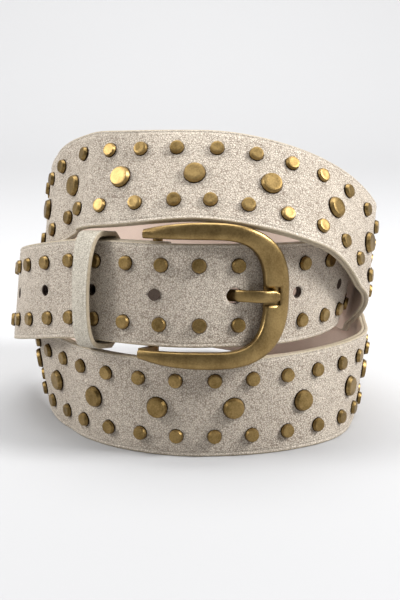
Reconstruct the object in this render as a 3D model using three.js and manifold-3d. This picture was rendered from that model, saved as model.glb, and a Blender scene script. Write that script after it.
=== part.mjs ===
// A studded leather belt, buckled into a closed strap and coiled into three loops that stand on their edges.
// Millimetres, +Z up. The origin is on the surface it stands on, at the middle of its footprint; the buckle faces -Y.
import * as THREE from 'three';
import { mergeVertices } from 'three/addons/utils/BufferGeometryUtils.js';
import Module from 'manifold-3d';

const wasm = await Module();
wasm.setup();

// Strap: face leather and lining, bonded into one thickness.
const strapWidth = 40;
const faceThickness = 1.6;
const liningThickness = 1.1;
const bondGap = 0.3;
const strapThickness = faceThickness + bondGap + liningThickness;
const tipTaper = 24;
const tipEndWidth = 14;

// Coil: the three loops of the buckled strap.
const coilRadius = 75;
const coilX = 3.3;
const coilY = -2.5;
const looseGap = 0.5;
const tipGap = 0.9;
const buckleEndAround = 14;
const tipAround = 1221;

// Studs and holes.
const studPitch = 14.9;
const studRowOffset = 11.5;
const smallStudDiameter = 5.9;
const smallStudHeight = 1.8;
const bigStudDiameter = 8.7;
const bigStudHeight = 2.1;
const studCapShare = 0.78;
const columnAtFront = 0.5;
const smallStudSides = 8;
const bigStudSides = 10;
const bigStudEvery = 2;
const bigStudPhase = 0;
const lastBigStudAround = 985;
const holePitch = 29.3;
const holeDiameter = 4.6;
const holesBeforeTongue = 4;
const holesAfterTongue = 2;

// Buckle: a horseshoe frame with its bar set back behind the tip of the strap.
const frameClearance = 1.5;
const armWidth = 6.7;
const armEndWidth = 3.5;
const bowWidth = 9.9;
const frameThickness = 3.6;
const frameBevel = 0.9;
const frameReach = 24.2;
const frameStart = -21.1;
const frameWidest = 2.5;
const armRise = 3.2;
const barDiameter = 4;
const barAt = -19.5;
const lugLength = 3.2;
const lugWidth = 2.4;
const notchDepth = 1.4;
const notchSlack = 1.1;
const fitGap = 0.35;

// Tongue: a flat prong looped round the bar, through the strap's hole and over the bow.
const tongueWidth = 4.8;
const tongueThickness = 2.2;
const tongueReach = 29;
const tongueHoleAt = 12.7;
const eyeWall = 1.6;
const slotSlack = 0.7;
const slotLength = 6.8;
const tongueClimb = 5;
const climbAhead = 1.3;

// Keeper: a loose leather loop that holds the tip of the strap.
const keeperWidth = 12.5;
const keeperThickness = 2.2;
const keeperRoom = 1.2;
const keeperRise = 0.2;
const keeperAt = -46;
const keeperBulge = 6.2;
const keeperRoundness = 0.62;
const keeperFlare = 5;

const buckleFoldReturn = 18;
const layerPitch = strapThickness + smallStudHeight + looseGap;
const underTip = strapThickness + tipGap;

// Where the strap runs, from the buckle's bar leftwards round the coil. around: degrees turned, 0, 360, 720 and 1080
// are the front. radius: share of the coil's radius. inside: strap layers that pass outside it there. lift: height of
// the lower edge, in strap widths. lean: degrees that the upper edge tips towards the middle of the coil.
const buckledStretch = [
  { around: 0, radius: 1.055, inside: 0, lift: 1.135, lean: 7 },
  { around: 44, radius: 0.98, inside: 0, lift: 1.075, lean: 8 },
  { around: 64, radius: 1.02, inside: 0, lift: 0.95, lean: 5 },
  { around: 85, radius: 1.06, inside: 0, lift: 0.79, lean: 6 },
  { around: 135, radius: 1.155, inside: 0, lift: 0.4, lean: 2 },
  { around: 175, radius: 1.235, inside: 0, lift: 0.14, lean: 0 },
];
const hiddenBack = [
  { around: 210, radius: 1.195, inside: 0, lift: 0, lean: 0 },
  { around: 245, radius: 1.06, inside: 0, lift: 0, lean: 0 },
];
const lowerLoop = [
  { around: 275, radius: 0.955, inside: 0, lift: 0, lean: -7 },
  { around: 290, radius: 0.985, inside: 0, lift: 0, lean: -7 },
  { around: 318, radius: 1.03, inside: 0, lift: 0, lean: 2 },
  { around: 360, radius: 1.03, inside: 0, lift: 0, lean: -3 },
  { around: 382, radius: 1.02, inside: 0.35, lift: 0, lean: -3 },
  { around: 400, radius: 1.01, inside: 0.85, lift: 0, lean: -3 },
  { around: 415, radius: 1.01, inside: 1.42, lift: 0, lean: -4 },
  { around: 445, radius: 1.05, inside: 1.74, lift: 0.08, lean: -8 },
];
const risingBack = [
  { around: 490, radius: 1.11, inside: 1.6, lift: 0.42, lean: -4 },
  { around: 540, radius: 1.174, inside: 1, lift: 0.6, lean: -6 },
  { around: 590, radius: 1.092, inside: 1.05, lift: 0.75, lean: -11 },
];
const upperLoop = [
  { around: 633, radius: 1.01, inside: 0.7, lift: 0.9, lean: -16 },
  { around: 656, radius: 1.045, inside: 0, lift: 1.45, lean: 3 },
  { around: 678, radius: 1.02, inside: 0, lift: 1.98, lean: 28 },
  { around: 720, radius: 0.852, inside: 0, lift: 2.33, lean: 36 },
  { around: 750, radius: 0.85, inside: 0, lift: 2.232, lean: 25 },
  { around: 764, radius: 0.874, inside: 0.5, lift: 2.167, lean: 17.5 },
  { around: 774, radius: 0.888, inside: 1, lift: 2.08, lean: 11 },
  { around: 786, radius: 0.906, inside: 1, lift: 1.92, lean: 9.5 },
  { around: 805, radius: 0.94, inside: 1, lift: 1.68, lean: 8 },
];
const fallingBack = [
  { around: 850, radius: 1.028, inside: 1.5, lift: 1.45, lean: 2 },
  { around: 900, radius: 1.11, inside: 2, lift: 1.3, lean: -4 },
  { around: 950, radius: 1.09, inside: 2, lift: 1.16, lean: -10 },
];
const holedStretch = [
  { around: 995, radius: 0.98, inside: 1.5, lift: 1.06, lean: -15 },
  { around: 1015, radius: 0.995, inside: 1, lift: 1.08, lean: -12 },
  { around: 1038, radius: 0.97, inside: 0, lift: 1.09, lean: -4 },
];
const backToFront = 1080;
const coming = { around: -42, radius: 0.97, inside: 0, lift: 1.09, lean: -4 };

// The buckle end repeats the tip's own stretch one strap layer further in.
const layersIn = (row, depth) => ({ ...row, depth });
const underTipFades = 245;
const route = [
  layersIn(coming, underTip),
  ...buckledStretch.map((row) => layersIn(row, underTip)),
  ...hiddenBack.map((row) => layersIn(row, (underTip * (underTipFades - row.around)) / 85)),
  ...[...lowerLoop, ...risingBack, ...upperLoop, ...fallingBack, ...holedStretch].map((row) => layersIn(row, 0)),
  ...buckledStretch.map((row) => layersIn({ ...row, around: row.around + backToFront }, 0)),
].map((row) => ({
  around: row.around,
  radius: row.radius * coilRadius - row.inside * layerPitch - row.depth,
  lift: row.lift * strapWidth,
  lean: THREE.MathUtils.degToRad(row.lean),
}));

// The slope of a column at one row: the two neighbouring slopes, each weighted by the other's span, and level
// where the column turns or starts to run level, so that the curve never dips under its rows.
function slopeAt(column, i) {
  const before = route[i - 1];
  const here = route[i];
  const after = route[i + 1];
  const step = (from, to) => (to[column] - from[column]) / (to.around - from.around);
  if (!before) return step(here, after);
  if (!after) return step(before, here);
  const spanBefore = here.around - before.around;
  const spanAfter = after.around - here.around;
  const [slopeBefore, slopeAfter] = [step(before, here), step(here, after)];
  if (slopeBefore * slopeAfter <= 0) return 0;
  return (spanBefore * slopeAfter + spanAfter * slopeBefore) / (spanBefore + spanAfter);
}

// A column of the route at any turn, by cubic Hermite curves through its rows.
function columnAt(column, around) {
  let i = route.findIndex((row) => row.around > around) - 1;
  if (i < 0) i = around < route[0].around ? 0 : route.length - 2;
  const span = route[i + 1].around - route[i].around;
  const t = (around - route[i].around) / span;
  return (
    (2 * t ** 3 - 3 * t ** 2 + 1) * route[i][column] +
    (t ** 3 - 2 * t ** 2 + t) * span * slopeAt(column, i) +
    (3 * t ** 2 - 2 * t ** 3) * route[i + 1][column] +
    (t ** 3 - t ** 2) * span * slopeAt(column, i + 1)
  );
}

// The middle of the strap at a turn.
function middleAt(around) {
  const radius = columnAt('radius', around);
  const angle = THREE.MathUtils.degToRad(around);
  const lean = columnAt('lean', around);
  const halfHeight = (strapWidth * Math.cos(lean) + strapThickness * Math.abs(Math.sin(lean))) / 2;
  const height = columnAt('lift', around) + halfHeight;
  return new THREE.Vector3(coilX - radius * Math.sin(angle), coilY - radius * Math.cos(angle), height);
}

// The strap's own directions at a turn: along (rightwards at the front), across (up its width), out (off its face).
function strapAt(around) {
  const middle = middleAt(around);
  const along = middleAt(around - 0.5).sub(middleAt(around + 0.5)).normalize();
  const level = along.clone().cross(new THREE.Vector3(0, 0, 1)).normalize();
  const upright = level.clone().cross(along);
  const lean = columnAt('lean', around);
  const across = upright.clone().multiplyScalar(Math.cos(lean)).addScaledVector(level, -Math.sin(lean));
  const out = level.clone().multiplyScalar(Math.cos(lean)).addScaledVector(upright, Math.sin(lean));
  return { middle, along, across, out };
}

// Length of strap from the buckle's bar to each whole degree, so that pieces can be set by length.
const lengthTable = [{ around: buckleEndAround - 60, length: 0 }];
for (let around = buckleEndAround - 59; around <= tipAround + 1; around += 1) {
  const last = lengthTable[lengthTable.length - 1];
  lengthTable.push({ around, length: last.length + middleAt(around).distanceTo(middleAt(last.around)) });
}
function lengthAt(around) {
  const i = Math.min(Math.max(Math.floor(around - lengthTable[0].around), 0), lengthTable.length - 2);
  const [low, high] = [lengthTable[i], lengthTable[i + 1]];
  return low.length + (high.length - low.length) * (around - low.around);
}
function aroundAt(length) {
  const found = lengthTable.findIndex((entry) => entry.length > length);
  const i = found < 1 ? lengthTable.length - 2 : found - 1;
  const [low, high] = [lengthTable[i], lengthTable[i + 1]];
  return low.around + (length - low.length) / (high.length - low.length);
}

// A place on the tip end of the strap: run is along it from the front's middle, rightwards positive.
const frontOfTip = lengthAt(backToFront);
const onTip = (run) => strapAt(aroundAt(frontOfTip - run));
const placeOn = (spot, across, out) =>
  spot.middle.clone().addScaledVector(spot.across, across).addScaledVector(spot.out, out);

// A closed skin through equal rings of points, capped flat at both ends, or joined end to end when it is a loop.
function skin(rings, isLoop = false) {
  const count = rings[0].length;
  const positions = rings.flat().flatMap((p) => [p.x, p.y, p.z]);
  const index = [];
  const last = isLoop ? rings.length : rings.length - 1;
  for (let i = 0; i < last; i += 1) {
    const next = (i + 1) % rings.length;
    for (let j = 0; j < count; j += 1) {
      const k = (j + 1) % count;
      const [a, b, c, d] = [i * count + j, i * count + k, next * count + k, next * count + j];
      index.push(a, b, c, a, c, d);
    }
  }
  if (!isLoop) {
    const end = (rings.length - 1) * count;
    for (let j = 1; j < count - 1; j += 1) {
      index.push(0, j + 1, j);
      index.push(end, end + j, end + j + 1);
    }
  }
  return outward(positions, index);
}
const closedGeometry = (points, faces) => outward(points.flatMap((p) => [p.x, p.y, p.z]), faces);

// Turns every face round where the closed skin was wound inside out.
function outward(positions, index) {
  const geometry = new THREE.BufferGeometry();
  geometry.setAttribute('position', new THREE.Float32BufferAttribute(positions, 3));
  const corner = [new THREE.Vector3(), new THREE.Vector3(), new THREE.Vector3()];
  let volume = 0;
  for (let i = 0; i < index.length; i += 3) {
    corner.forEach((v, j) => v.fromArray(positions, 3 * index[i + j]));
    volume += corner[0].dot(corner[1].cross(corner[2]));
  }
  if (volume < 0) {
    for (let i = 0; i < index.length; i += 3) {
      [index[i + 1], index[i + 2]] = [index[i + 2], index[i + 1]];
    }
  }
  geometry.setIndex(index);
  return geometry;
}

// A three.js geometry as a solid that can be joined and cut, and back again.
function solid(geometry, matrix) {
  const bare = geometry.clone();
  bare.deleteAttribute('normal');
  bare.deleteAttribute('uv');
  if (matrix) bare.applyMatrix4(matrix);
  const merged = mergeVertices(bare, 1e-4);
  return new wasm.Manifold(
    new wasm.Mesh({
      numProp: 3,
      vertProperties: new Float32Array(merged.attributes.position.array),
      triVerts: new Uint32Array(merged.index.array),
    }),
  );
}
function meshOf(name, body, material) {
  const { vertProperties, triVerts } = body.getMesh();
  const geometry = new THREE.BufferGeometry();
  geometry.setAttribute('position', new THREE.BufferAttribute(vertProperties, 3));
  geometry.setIndex(new THREE.BufferAttribute(triVerts, 1));
  geometry.computeVertexNormals();
  const mesh = new THREE.Mesh(geometry, material);
  mesh.name = name;
  return mesh;
}

// A frame of directions as a matrix: X along, Y across, Z out.
const matrixOf = (spot, across = 0, out = 0) =>
  new THREE.Matrix4()
    .makeBasis(spot.along, spot.across, spot.out)
    .setPosition(placeOn(spot, across, out));

// Stations of the strap, from the end of its fold behind the bar, round the bar and on to the tip.
const foldRadius = barDiameter / 2 + fitGap + strapThickness / 2;
const barAround = aroundAt(frontOfTip - barAt) - backToFront;
const barLength = lengthAt(barAround);
const barSpot = strapAt(barAround);
const foldTurns = 6;

function foldStations() {
  const stations = [];
  const easing = 16;
  for (let run = buckleFoldReturn; run > 0; run -= easing / 2) {
    const spot = strapAt(aroundAt(barLength + run));
    const eased = THREE.MathUtils.smoothstep(run, 0, easing);
    const apart = THREE.MathUtils.lerp(2 * foldRadius, strapThickness + looseGap, eased);
    stations.push({ ...spot, middle: placeOn(spot, 0, -apart), out: spot.out.clone().negate() });
  }
  const centre = placeOn(barSpot, 0, -foldRadius);
  for (let i = 0; i <= foldTurns; i += 1) {
    const turn = Math.PI * (1 - i / foldTurns);
    const out = barSpot.out.clone().multiplyScalar(Math.cos(turn)).addScaledVector(barSpot.along, Math.sin(turn));
    stations.push({ ...barSpot, middle: centre.clone().addScaledVector(out, foldRadius), out });
  }
  return stations.map((station) => ({ ...station, half: strapWidth / 2 }));
}

// Each panel of the strap has one column of small studs near its start and room for a big stud near its end.
const smallFoot = (smallStudDiameter / 2) * Math.cos(Math.PI / smallStudSides);
const bigFoot = (bigStudDiameter / 2) * Math.cos(Math.PI / bigStudSides);
const studLead = smallFoot + (studPitch / 2 - smallFoot - bigFoot) / 2;
const tipLength = lengthAt(tipAround);
const panelsBeforeFront = Math.floor((frontOfTip - barLength) / studPitch) - 1;
const firstStation = frontOfTip - columnAtFront - studLead - panelsBeforeFront * studPitch;
const firstStudAround = 145;
function halfWidthAt(length) {
  const left = Math.max(tipLength - length, 0);
  const share = Math.sqrt(Math.min(left / tipTaper, 1));
  return THREE.MathUtils.lerp(tipEndWidth, strapWidth, share) / 2;
}
function runStations() {
  const stations = [];
  const put = (length, half) => stations.push({ ...strapAt(aroundAt(length)), half, length });
  const tipStart = tipLength - tipTaper;
  for (let length = firstStation; length < tipStart - studPitch / 2; length += studPitch) {
    put(length, strapWidth / 2);
  }
  for (const share of [1, 0.6, 0.25, 0.06, 0]) {
    const length = tipLength - tipTaper * share;
    put(length, halfWidthAt(length));
  }
  return stations;
}
const stations = [...foldStations(), ...runStations()];
const isStudded = (station, next) =>
  station.length > lengthAt(firstStudAround) && Math.abs(next.length - station.length - studPitch) < 0.01;

// The studs of a panel: where each stands from the panel's start, its row, size and number of sides.
function studsOf(station) {
  const number = Math.round((station.length - firstStation) / studPitch);
  const small = { sides: smallStudSides, radius: smallStudDiameter / 2, height: smallStudHeight, from: studLead };
  const studs = [-1, 1].map((side) => ({ ...small, row: side * studRowOffset }));
  if (number % bigStudEvery === bigStudPhase && station.length < lengthAt(lastBigStudAround)) {
    const from = studLead + studPitch / 2;
    studs.push({ sides: bigStudSides, radius: bigStudDiameter / 2, height: bigStudHeight, from, row: 0 });
  }
  return studs;
}

// A panel twists when its two ends lean differently; it then gets a point halfway along each edge and one inside.
const twistLimit = THREE.MathUtils.degToRad(8);
function isTwisted(station, next) {
  if (station.length === undefined) return false;
  const lean = (length) => columnAt('lean', aroundAt(length));
  return Math.abs(lean(next.length) - lean(station.length)) > twistLimit;
}

// One layer of the strap between two depths, panel by panel; the studded layer's panels carry their studs.
function strapLayer(inner, outer, hasStuds) {
  const points = [];
  const faces = [];
  const add = (point) => points.push(point) - 1;
  const pair = (spot, across) => [add(placeOn(spot, across, outer)), add(placeOn(spot, across, inner))];
  const corners = stations.map((station) => ({
    low: pair(station, -station.half),
    high: pair(station, station.half),
  }));
  const wall = (from, to) => {
    faces.push(to[0], from[0], from[1]);
    faces.push(to[0], from[1], to[1]);
  };
  stations.slice(0, -1).forEach((station, i) => {
    const next = stations[i + 1];
    const twisted = isTwisted(station, next);
    const studded = hasStuds && isStudded(station, next);
    const run = studded || twisted ? next.length - station.length : 1;
    const middle = studded || twisted ? strapAt(aroundAt(station.length + run / 2)) : undefined;
    const half = (station.half + next.half) / 2;
    const edge = [
      { x: -run, y: -next.half, pair: corners[i + 1].low },
      ...(twisted ? [{ x: -run / 2, y: -half, pair: pair(middle, -half) }] : []),
      { x: 0, y: -station.half, pair: corners[i].low },
      { x: 0, y: station.half, pair: corners[i].high },
      ...(twisted ? [{ x: -run / 2, y: half, pair: pair(middle, half) }] : []),
      { x: -run, y: next.half, pair: corners[i + 1].high },
    ];
    edge.forEach((from, j) => {
      const to = edge[(j + 1) % edge.length];
      const isJoint = from.x === to.x;
      const isEnd = (from.x === 0 && i === 0) || (from.x === -run && i === stations.length - 2);
      if (!isJoint || isEnd) wall(from.pair, to.pair);
    });
    if (twisted) {
      const inside = add(placeOn(middle, 0, inner));
      edge.forEach((from, j) => faces.push(inside, edge[(j + 1) % edge.length].pair[1], from.pair[1]));
    } else {
      faces.push(edge[0].pair[1], edge[2].pair[1], edge[1].pair[1]);
      faces.push(edge[0].pair[1], edge[3].pair[1], edge[2].pair[1]);
    }
    const studs = studded ? studsOf(station) : [];
    const contour = edge.map(({ x, y }) => new THREE.Vector2(x, y));
    const ids = edge.map((entry) => entry.pair[0]);
    if (twisted && !studded) {
      const inside = add(placeOn(middle, 0, outer));
      edge.forEach((from, j) => faces.push(inside, from.pair[0], edge[(j + 1) % edge.length].pair[0]));
      return;
    }
    if (!studded) {
      faces.push(ids[0], ids[1], ids[2]);
      faces.push(ids[0], ids[2], ids[3]);
      return;
    }
    studs.forEach((stud) => ids.push(...standStud(points, faces, station.length, stud, outer)));
    const rings = studs.map((stud) => circle(stud.sides, stud.radius, -stud.from, stud.row));
    fillFlat(contour, rings, ids, faces);
  });
  return closedGeometry(points, faces);
}

const circle = (sides, radius, x, y) =>
  Array.from({ length: sides }, (_, i) => {
    const angle = (2 * Math.PI * (i + 0.5)) / sides;
    return new THREE.Vector2(x + radius * Math.cos(angle), y + radius * Math.sin(angle));
  });

// A stud stood straight on its panel: a foot ring that the panel is stitched to, a sloping rim and a flat top.
function standStud(points, faces, panelStart, stud, outer) {
  const spot = strapAt(aroundAt(panelStart + stud.from));
  const ring = (radius, out) =>
    circle(stud.sides, radius, 0, stud.row).map(({ x, y }) => {
      const point = placeOn(spot, y, outer + out).addScaledVector(spot.along, x);
      return points.push(point) - 1;
    });
  const foot = ring(stud.radius, 0);
  const cap = ring(stud.radius * studCapShare, stud.height);
  foot.forEach((low, i) => {
    const next = (i + 1) % foot.length;
    faces.push(low, foot[next], cap[next]);
    faces.push(low, cap[next], cap[i]);
  });
  for (let i = 1; i < cap.length - 1; i += 1) faces.push(cap[0], cap[i], cap[i + 1]);
  return foot;
}

// Fills a flat outline round its holes with triangles that all turn the same way as the outline.
function fillFlat(contour, rings, ids, faces) {
  const flat = [...contour, ...rings.flat()];
  for (const [a, b, c] of THREE.ShapeUtils.triangulateShape(contour, rings)) {
    const turn = flat[b].clone().sub(flat[a]).cross(flat[c].clone().sub(flat[a]));
    faces.push(ids[a], ids[turn > 0 ? b : c], ids[turn > 0 ? c : b]);
  }
}

// Cutters: the tip's holes, the long hole that the tongue pulls open, and the tongue's slot in the fold.
function holes() {
  const depth = strapThickness + 2 * looseGap;
  const round = new THREE.CylinderGeometry(holeDiameter / 2, holeDiameter / 2, depth, 8).rotateX(Math.PI / 2);
  const pulled = new THREE.BoxGeometry(slotLength, tongueWidth + 2 * slotSlack, 2 * depth);
  const cutters = [];
  for (let i = -holesBeforeTongue; i <= holesAfterTongue; i += 1) {
    const at = i === 0 ? tongueHoleAt + climbAhead : tongueHoleAt + i * holePitch;
    cutters.push(solid(i === 0 ? pulled : round, matrixOf(onTip(at), 0, looseGap / 2)));
  }
  return cutters;
}
function foldSlot() {
  const top = strapThickness / 2 + looseGap / 2;
  const bottom = -2 * foldRadius - strapThickness / 2 - looseGap;
  const length = 2 * (foldRadius + strapThickness / 2 + slotSlack);
  const box = new THREE.BoxGeometry(length, tongueWidth + 2 * slotSlack, top - bottom);
  return solid(box, matrixOf(barSpot, 0, (top + bottom) / 2));
}

const leather = new THREE.MeshStandardMaterial({ color: 0xb3a595, roughness: 0.6, metalness: 0.05 });
const liningLeather = new THREE.MeshStandardMaterial({ color: 0xded5c9, roughness: 0.8, metalness: 0 });
const keeperLeather = new THREE.MeshStandardMaterial({ color: 0xb8ada2, roughness: 0.6, metalness: 0.05 });
const brass = new THREE.MeshStandardMaterial({ color: 0x856b43, roughness: 0.35, metalness: 1 });

const joined = (bodies) => bodies.reduce((sum, body) => sum.add(body));
const cut = (body, cutters) => cutters.reduce((rest, cutter) => rest.subtract(cutter), body);

const faceLayer = strapLayer(strapThickness / 2 - faceThickness, strapThickness / 2, true);
const face = cut(solid(faceLayer), [...holes(), foldSlot()]);
const liningBody = solid(strapLayer(-strapThickness / 2, liningThickness - strapThickness / 2, false));
const lining = cut(liningBody, [...holes(), foldSlot()]);

// Buckle frame: rings of its section, from one arm's end round the bow to the other's.
const openingHalf = strapWidth / 2 + frameClearance;
const outerHalf = openingHalf + armWidth;
const bowRise = strapThickness / 2 + smallStudHeight + looseGap + frameThickness / 2;
const outSqueeze = 2 / 2.6;
const inSqueeze = 2 / 3;
const bowOuter = frameReach + bowWidth;
const bowInnerStart = 4;

// The frame's middle surface stands clear of the strap's edges at the arms and of the studs under the bow.
const riseAt = (run) =>
  THREE.MathUtils.lerp(armRise, bowRise, THREE.MathUtils.smoothstep(run, frameWidest - 6, frameReach - 4));

function frameRing(outerRun, outerAcross, innerRun, innerAcross, notch = 0) {
  const at = (share, out) => {
    const run = THREE.MathUtils.lerp(outerRun, innerRun, share);
    const across = THREE.MathUtils.lerp(outerAcross, innerAcross, share);
    return placeOn(onTip(run), across, riseAt(run) + out);
  };
  const half = frameThickness / 2;
  const width = Math.hypot(outerRun - innerRun, outerAcross - innerAcross);
  const edge = frameBevel / width;
  return [
    at(0, -half),
    at(0, half - frameBevel),
    at(2 * edge, half - notch),
    at(1 - 2 * edge, half - notch),
    at(1, half - frameBevel),
    at(1, -half),
  ];
}

function frameBody() {
  const rings = [];
  const armSteps = 5;
  const bowSteps = 20;
  const arm = (share, side) => {
    const outerRun = THREE.MathUtils.lerp(frameStart, frameWidest, share);
    const innerRun = THREE.MathUtils.lerp(frameStart, bowInnerStart, share);
    const outerAcross = openingHalf + armEndWidth + (armWidth - armEndWidth) * (1 - (1 - share) ** 2);
    return frameRing(outerRun, side * outerAcross, innerRun, side * openingHalf);
  };
  for (let i = 0; i < armSteps; i += 1) rings.push(arm(i / armSteps, 1));
  for (let i = 0; i <= bowSteps; i += 1) {
    const angle = Math.PI * (0.5 - i / bowSteps);
    const [c, s] = [Math.max(Math.cos(angle), 0), Math.sin(angle)];
    const outerRun = frameWidest + (bowOuter - frameWidest) * c ** outSqueeze;
    const outerAcross = outerHalf * Math.sign(s) * Math.abs(s) ** outSqueeze;
    const innerRun = bowInnerStart + (frameReach - bowInnerStart) * c ** inSqueeze;
    const innerAcross = openingHalf * Math.sign(s) * Math.abs(s) ** inSqueeze;
    rings.push(frameRing(outerRun, outerAcross, innerRun, innerAcross));
  }
  for (let i = armSteps - 1; i >= 0; i -= 1) rings.push(arm(i / armSteps, -1));
  return solid(skin(rings));
}

// The bar and its two lugs, set back from the arms' ends so that the tip passes in front of it.
function barBodies() {
  const barHeight = 2 * openingHalf + 2 * lugWidth - 0.4;
  const bar = new THREE.CylinderGeometry(barDiameter / 2, barDiameter / 2, barHeight, 12);
  const lugTop = underTip + armRise;
  const lugBottom = -foldRadius - barDiameter / 2;
  const lug = new THREE.BoxGeometry(lugLength, lugWidth, lugTop - lugBottom);
  const lugAcross = openingHalf + lugWidth / 2;
  return [
    solid(bar, matrixOf(barSpot, 0, -foldRadius)),
    solid(lug, matrixOf(barSpot, lugAcross, (lugTop + lugBottom) / 2)),
    solid(lug, matrixOf(barSpot, -lugAcross, (lugTop + lugBottom) / 2)),
  ];
}
const tongueSeat = bowRise + frameThickness / 2 - notchDepth;
function bowNotch() {
  const [start, end] = [frameReach - bowWidth / 4, tongueReach + notchSlack];
  const box = new THREE.BoxGeometry(end - start, tongueWidth + 2 * notchSlack, 2 * notchDepth);
  return solid(box, matrixOf(onTip((start + end) / 2), 0, tongueSeat + notchDepth));
}
const buckle = cut(joined([frameBody(), ...barBodies()]), [bowNotch()]);

// Tongue: its course from the eye round the bar, as runs along the strap and heights off it.
const tongueHalf = tongueThickness / 2;
const underStrap = -(strapThickness / 2 + tipGap + tongueHalf);
const eyeInner = barDiameter / 2 + fitGap;
const eyeOuter = eyeInner + eyeWall;
const eyeTop = eyeInner + tongueHalf - foldRadius - underTip;
const tongueOver = tongueSeat + fitGap + tongueHalf;
const tongueCourse = [
  { run: barAt, out: eyeTop, half: 1 },
  { run: tongueHoleAt + climbAhead - tongueClimb / 2, out: underStrap, half: 1 },
  { run: tongueHoleAt + climbAhead + tongueClimb / 2, out: strapThickness / 2 + tongueHalf + looseGap, half: 1 },
  { run: frameReach - 2, out: tongueOver + 0.2, half: 1 },
  { run: tongueReach - 1.6, out: tongueOver + 0.1, half: 0.94 },
  { run: tongueReach, out: tongueOver + 0.1, half: 0.55 },
];

function tongueBody() {
  const rings = tongueCourse.map(({ run, out, half }) => {
    const spot = onTip(run);
    const across = (tongueWidth / 2) * half;
    return [
      placeOn(spot, -across, out - tongueHalf),
      placeOn(spot, across, out - tongueHalf),
      placeOn(spot, across, out + tongueHalf * 0.3),
      placeOn(spot, across * 0.6, out + tongueHalf),
      placeOn(spot, -across * 0.6, out + tongueHalf),
      placeOn(spot, -across, out + tongueHalf * 0.3),
    ];
  });
  const prong = solid(skin(rings));
  const halfWidth = tongueWidth / 2;
  const profile = [
    new THREE.Vector2(eyeInner, -halfWidth),
    new THREE.Vector2(eyeOuter, -halfWidth),
    new THREE.Vector2(eyeOuter, halfWidth),
    new THREE.Vector2(eyeInner, halfWidth),
    new THREE.Vector2(eyeInner, -halfWidth),
  ];
  const eye = solid(new THREE.LatheGeometry(profile, 12), matrixOf(barSpot, 0, -foldRadius));
  return prong.add(eye);
}

// Keeper: an oval leather ring round both layers; its buckle-side edge stands further off the strap.
const keeperDepth = underTip + strapThickness / 2 + tipGap + keeperThickness / 2;
const keeperHalf = strapWidth / 2 + keeperRoom + keeperThickness / 2;
function keeperBody() {
  const steps = 14;
  const course = [];
  for (let i = 0; i <= steps; i += 1) {
    const angle = Math.PI * (i / steps - 0.5);
    const swell = Math.max(Math.cos(angle), 0) ** keeperRoundness;
    course.push({ across: keeperRise + keeperHalf * Math.sin(angle), swell, back: 0 });
  }
  for (const [share, back] of [[1, 0.7], [0.9, 1], [0, 1], [-0.9, 1], [-1, 0.7]]) {
    course.push({ across: keeperRise + keeperHalf * share, swell: 0, back: keeperDepth * back });
  }
  const rings = course.map(({ across, swell, back }, i) => {
    const before = course[(i + course.length - 1) % course.length];
    const after = course[(i + 1) % course.length];
    const side = (share) => {
      const bulge = (entry) => {
        const top = strapThickness / 2 + keeperBulge + keeperFlare * (share - 0.5);
        return top * entry.swell - entry.back;
      };
      const spot = onTip(keeperAt + keeperWidth * (share - 0.5));
      const tangent = new THREE.Vector2(after.across - before.across, bulge(after) - bulge(before)).normalize();
      const here = new THREE.Vector2(across, bulge({ swell, back }));
      const normal = new THREE.Vector2(-tangent.y, tangent.x).multiplyScalar(keeperThickness / 2);
      const outer = here.clone().add(normal);
      const inner = here.clone().sub(normal);
      return [placeOn(spot, outer.x, outer.y), placeOn(spot, inner.x, inner.y)];
    };
    const [leftOuter, leftInner] = side(0);
    const [rightOuter, rightInner] = side(1);
    return [leftOuter, rightOuter, rightInner, leftInner];
  });
  return solid(skin(rings, true));
}

const belt = new THREE.Group();
belt.add(meshOf('strap_face', face, leather));
belt.add(meshOf('strap_lining', lining, liningLeather));
belt.add(meshOf('buckle_frame', buckle, brass));
belt.add(meshOf('buckle_tongue', tongueBody(), brass));
belt.add(meshOf('keeper_loop', keeperBody(), keeperLeather));
export default belt;
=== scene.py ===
"""A studded leather belt, buckled and coiled into three loops that stand on their edges."""

import bpy
import numpy as np
from mathutils import Matrix


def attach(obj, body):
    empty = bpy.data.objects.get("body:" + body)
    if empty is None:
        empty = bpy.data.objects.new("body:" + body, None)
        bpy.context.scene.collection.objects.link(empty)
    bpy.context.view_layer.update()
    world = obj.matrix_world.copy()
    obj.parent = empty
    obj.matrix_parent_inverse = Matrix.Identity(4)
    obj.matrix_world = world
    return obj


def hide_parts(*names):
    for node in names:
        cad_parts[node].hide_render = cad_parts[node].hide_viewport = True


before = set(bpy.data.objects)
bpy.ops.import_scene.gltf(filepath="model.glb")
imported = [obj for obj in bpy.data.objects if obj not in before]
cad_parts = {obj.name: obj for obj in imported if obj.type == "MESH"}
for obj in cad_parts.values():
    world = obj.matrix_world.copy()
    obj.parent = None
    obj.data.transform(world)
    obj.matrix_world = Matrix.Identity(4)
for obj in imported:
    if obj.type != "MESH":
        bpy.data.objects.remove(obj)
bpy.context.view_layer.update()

# Camera, a long lens a little above the belt, looking down at it, and the pale table that the belt stands on.
# Lengths are in millimetres here and everywhere below, and become metres where a mesh or a lamp is made.
MM = 0.001
CAMERA_PLACE = np.array([4.1, -523.8, 155.4])
CAMERA_DROP = np.radians(11.7)
CAMERA_LENS = 70.5

camera = bpy.data.objects.new("camera", bpy.data.cameras.new("camera"))
camera.data.lens = CAMERA_LENS
camera.data.sensor_width = 36
camera.data.clip_start, camera.data.clip_end = 0.01, 20
camera.location = CAMERA_PLACE * MM
camera.rotation_euler = (np.pi / 2 - CAMERA_DROP, 0, 0)
bpy.context.scene.collection.objects.link(camera)
bpy.context.scene.camera = camera


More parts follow.
